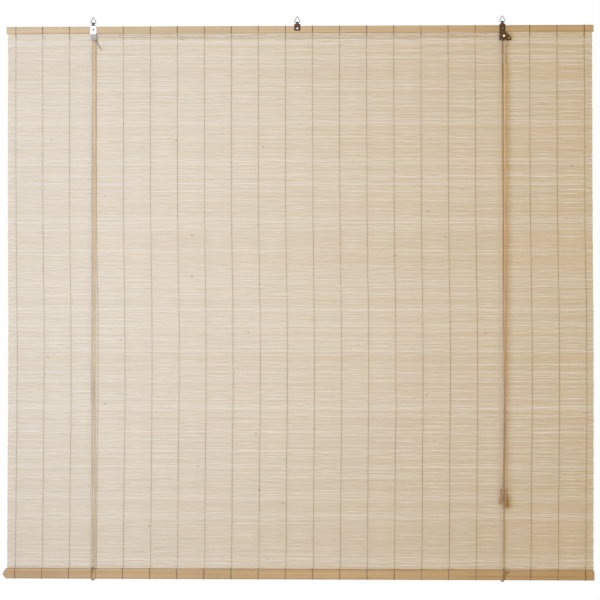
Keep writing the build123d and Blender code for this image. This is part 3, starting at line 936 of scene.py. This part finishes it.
def bindingTree():
    tree, given = newTree(
        "railBindings", ("Threads", "Open first", "Open second"),
        ("First", "Pitch", "Plane", "Middle", "Depth", "Height", "Corner", "Stand", "Radius", "Spacing",
         "Jitter", "Slant"))
    # one turn round the rail, from its front foot by the back to its front top
    twice = times(tree, given["Stand"], 2.0)
    wide, tall = plus(tree, given["Depth"], twice), plus(tree, given["Height"], twice)
    loop = get(tree, "GeometryNodeCurvePrimitiveQuadrilateral", Width=wide, Height=tall)
    loop = get(tree, "GeometryNodeFilletCurve", {"mode": "POLY"}, Curve=loop, Count=5,
               Radius=plus(tree, given["Corner"], given["Stand"]))
    quarter = math.pi / 2
    loop = get(tree, "GeometryNodeTransform", Geometry=loop, Rotation=(-quarter, 0, -quarter))
    # behind a bracket the turn is left open at the front and the foot
    spot = position(tree)
    front = times(tree, minus(tree, given["Corner"], given["Depth"]), 0.5)
    foot = times(tree, minus(tree, given["Corner"], given["Height"]), 0.5)
    covered = calc(tree, "MAXIMUM", calc(tree, "LESS_THAN", spot[1], front),
                   calc(tree, "LESS_THAN", spot[2], foot))
    cut = get(tree, "GeometryNodeSetSplineCyclic", Geometry=loop, Cyclic=False)
    cut = get(tree, "GeometryNodeDeleteGeometry", {"domain": "POINT"}, Geometry=cut, Selection=covered)

    index = get(tree, "GeometryNodeInputIndex")
    thread = calc(tree, "FLOOR", times(tree, index, 0.5))
    across = plus(tree, given["First"], times(tree, thread, given["Pitch"]))
    beside = minus(tree, calc(tree, "MODULO", index, 2.0), 0.5)
    across = plus(tree, across, times(tree, beside, given["Spacing"]))
    across = plus(tree, across, times(tree, drawn(tree, given, -1.0, 1.0, 0.0), given["Jitter"]))
    points = get(tree, "GeometryNodePoints", Count=times(tree, given["Threads"], 2.0),
                 Position=vector(tree, across, given["Plane"], given["Middle"]))
    opened = calc(tree, "MAXIMUM", calc(tree, "COMPARE", thread, given["Open first"], 0.1),
                  calc(tree, "COMPARE", thread, given["Open second"], 0.1))
    slant = times(tree, drawn(tree, given, -1.0, 1.0, 1.0), given["Slant"])
    laid = []
    for line, chosen in ((loop, minus(tree, 1.0, opened)), (cut, opened)):
        turn = sweep(tree, line, 5, given["Radius"])
        laid.append(get(tree, "GeometryNodeInstanceOnPoints", Points=points, Selection=chosen, Instance=turn,
                        Rotation=vector(tree, 0.0, 0.0, slant)))
    endTree(tree, joined(tree, laid), given["Finish"])
    return tree


railTree = bindingTree()
for name, setup in rails.items():
    turns = grow(name, railTree, {
        "Threads": warp["count"], **inMetres(warp, "First", "Pitch"), **inMetres(mat, "Plane"),
        **inMetres(setup, "Middle", "Depth", "Height", "Corner"),
        **inMetres(binding, "Stand", "Radius", "Spacing", "Jitter"), "Slant": math.radians(binding["slant"]),
        "Open first": setup["open"][0], "Open second": setup["open"][1],
        "Seed": binding["seed"], "Finish": finishes["binding"],
    })
    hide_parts(setup["node"])
    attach(turns, setup["body"])
print("bindings made")

# knots and loose ends of the threads under the top rail
threadEnds = {
    "depth": 0.6, "drop": 6.2, "slip": 2.5, "knotRadius": 0.9, "knotHeight": 3.2, "knotTurns": 2.2,
    "strand": 0.85, "tailShare": 0.6, "tailLength": 15.0, "tailVary": 0.45, "tailRadius": 0.34,
    "tailTurn": 58.0, "seed": 14,
}


def threadEndTree():
    tree, given = newTree(
        "threadEnds", ("Threads",),
        ("First", "Pitch", "Depth", "Height", "Slip", "Knot radius", "Knot height", "Strand", "Tail share",
         "Tail length", "Tail vary", "Tail radius", "Tail turn"))
    coil = get(tree, "GeometryNodeCurveSpiral", Resolution=12, Rotations=threadEnds["knotTurns"],
               Start_Radius=given["Knot radius"], End_Radius=given["Knot radius"],
               Height=given["Knot height"])
    knot = sweep(tree, coil, 5, given["Strand"])
    # a tail a unit long, standing a little off the mat
    tailLine = get(tree, "GeometryNodeCurveQuadraticBezier", Resolution=6, Start=(0, 0, 0),
                   Middle=(0.16, -0.16, -0.4), End=(0, -0.02, -1))
    tail = sweep(tree, tailLine, 4, calc(tree, "DIVIDE", given["Tail radius"], given["Tail length"]))

    index = get(tree, "GeometryNodeInputIndex")
    across = plus(tree, given["First"], times(tree, index, given["Pitch"]))
    height = minus(tree, given["Height"], times(tree, drawn(tree, given, 0.0, 1.0, 1.0), given["Slip"]))
    points = get(tree, "GeometryNodePoints", Count=given["Threads"],
                 Position=vector(tree, across, given["Depth"], height))
    tailed = calc(tree, "LESS_THAN", drawn(tree, given, 0.0, 1.0, 2.0), given["Tail share"])
    size = times(tree, drawn(tree, given, -1.0, 1.0, 3.0), given["Tail vary"])
    size = times(tree, plus(tree, size, 1.0), given["Tail length"])
    turn = times(tree, drawn(tree, given, -1.0, 1.0, 4.0), given["Tail turn"])
    knots = get(tree, "GeometryNodeInstanceOnPoints", Points=points, Instance=knot,
                Rotation=vector(tree, 0.0, 0.0, drawn(tree, given, 0.0, 2 * math.pi, 5.0)))
    tails = get(tree, "GeometryNodeInstanceOnPoints", Points=points, Selection=tailed, Instance=tail,
                Rotation=vector(tree, 0.0, turn, 0.0), Scale=vector(tree, size, size, size))
    endTree(tree, joined(tree, (knots, tails)), given["Finish"])
    return tree


ends = grow("threadEnds", threadEndTree(), {
    "Threads": warp["count"], **inMetres(warp, "First", "Pitch"),
    **inMetres(threadEnds, "Depth", "Slip", "Knot radius", "Knot height", "Strand", "Tail length",
               "Tail radius"),
    "Height": (mat["top"] - threadEnds["drop"]) * mm, "Tail share": threadEnds["tailShare"],
    "Tail vary": threadEnds["tailVary"], "Tail turn": math.radians(threadEnds["tailTurn"]),
    "Seed": threadEnds["seed"], "Finish": finishes["knot"],
})
# a longer loose end hangs beside the left pulley
looseEnd = {
    "radius": 0.9, "sides": 5,
    "route": [
        (-619, -2.2, -70), (-617.4, -5.0, -76), (-613, -5.6, -85), (-607.5, -4.6, -95), (-603.5, -3.6, -101),
    ],
}
looseVerts, looseFaces = tube(readRoute(looseEnd["route"]), looseEnd["radius"] * mm, looseEnd["sides"], 0)
loose = addPiece("looseThread", looseVerts, looseFaces, finishes["looseThread"])
for piece in (ends, loose):
    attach(piece, "headrail")
print("thread ends made", len(ends.data.polygons))

# the solids that keep their own shape
kept = {
    "top_rail": "topRail", "bottom_rail": "bottomRail", "hanger_screws": "screw",
    "left_ring": "ring", "middle_ring": "ring", "right_ring": "ring",
    "middle_hanger_plate": "bronze", "cord_lock_bracket": "bronze",
    "left_pulley_bracket": "nickel", "left_axle": "nickel", "cord_lock_axle": "rivet",
    "left_sheave": "brass", "cord_lock_back_sheave": "brass", "cord_lock_front_sheave": "brass",
    "cord_lock_roller": "brass", "left_staple": "rivet", "right_staple": "rivet",
}
for node, finish in kept.items():
    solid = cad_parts[node]
    solid.data.materials.clear()
    solid.data.materials.append(finishes[finish])
print("solids painted", len(kept))

# floor, light and background
studio = {
    "floor": -1.95, "floorEdges": (-3.2, -3.6, 3.2, 0.72), "floorTone": 0.82,
    "floorRough": 0.9, "floorWhite": 0.6, "skyTone": (1.0, 0.88, 0.5, 1.0), "skyStrength": 0.25,
}
lamps = {
    "keyLamp": {
        "place": (-0.95, -1.9, -0.6), "aim": (-0.75, 0.0, -0.75), "size": (1.8, 3.4),
        "power": 79.5, "tone": (0.462, 0.62, 1.0),
    },
    "fillLamp": {
        "place": (0.9, -4.2, -0.6), "aim": (0.3, 0.0, -0.85), "size": (4.6, 4.0),
        "power": 109.0, "tone": (1.0, 0.711, 0.19),
    },
    "backLamp": {
        "place": (0.3, 3.6, -0.5), "aim": (0.0, 0.0, -0.85), "size": (4.2, 3.6),
        "power": 62.0, "tone": (1.0, 0.86, 0.66),
    },
}


def addFloor():
    material, tree, matt = newMaterial("paleFloor")
    tone = grey(studio["floorTone"])
    matt.inputs["Base Color"].default_value = tone
    matt.inputs["Roughness"].default_value = studio["floorRough"]
    # paler to the camera, so the tinted lamps hardly show on it
    rays = tree.nodes.new("ShaderNodeLightPath").outputs
    white = get(tree, "ShaderNodeEmission", Color=tone, Strength=1.0)
    share = times(tree, rays["Is Camera Ray"], studio["floorWhite"])
    mixed = mixShaders(tree, share, matt.outputs[0], white)
    tree.links.new(mixed, tree.nodes["Material Output"].inputs["Surface"])
    left, front, right, back = studio["floorEdges"]
    corners = [(left, front), (right, front), (right, back), (left, back)]
    addPiece("floor", [(x, y, studio["floor"]) for x, y in corners], [(0, 1, 2, 3)], material)


def addLamp(name, place, aim, size, power, tone):
    lamp = bpy.data.lights.new(name, "AREA")
    lamp.shape = "RECTANGLE"
    lamp.size, lamp.size_y = size
    lamp.energy = power
    lamp.color = tone
    holder = bpy.data.objects.new(name, lamp)
    holder.location = place
    holder.rotation_euler = (Vector(aim) - Vector(place)).to_track_quat("-Z", "Y").to_euler()
    holder.visible_camera = False  # the lamps stand in the camera's view
    scene.collection.objects.link(holder)


def addSky():
    world = bpy.data.worlds.new("paleSky")
    scene.world = world
    world.use_nodes = True
    tree = world.node_tree
    tree.nodes.clear()
    rays = tree.nodes.new("ShaderNodeLightPath").outputs
    seen = calc(tree, "MAXIMUM", rays["Is Camera Ray"], rays["Is Glossy Ray"])
    seen = calc(tree, "MAXIMUM", seen, rays["Is Transmission Ray"])
    light = get(tree, "ShaderNodeBackground", Color=studio["skyTone"], Strength=studio["skyStrength"])
    white = get(tree, "ShaderNodeBackground", Color=grey(1), Strength=1.0)
    mixed = mixShaders(tree, seen, light, white)
    tree.links.new(mixed, tree.nodes.new("ShaderNodeOutputWorld").inputs[0])


addFloor()
addSky()
for name, setup in lamps.items():
    addLamp(name, **setup)
print("studio made")
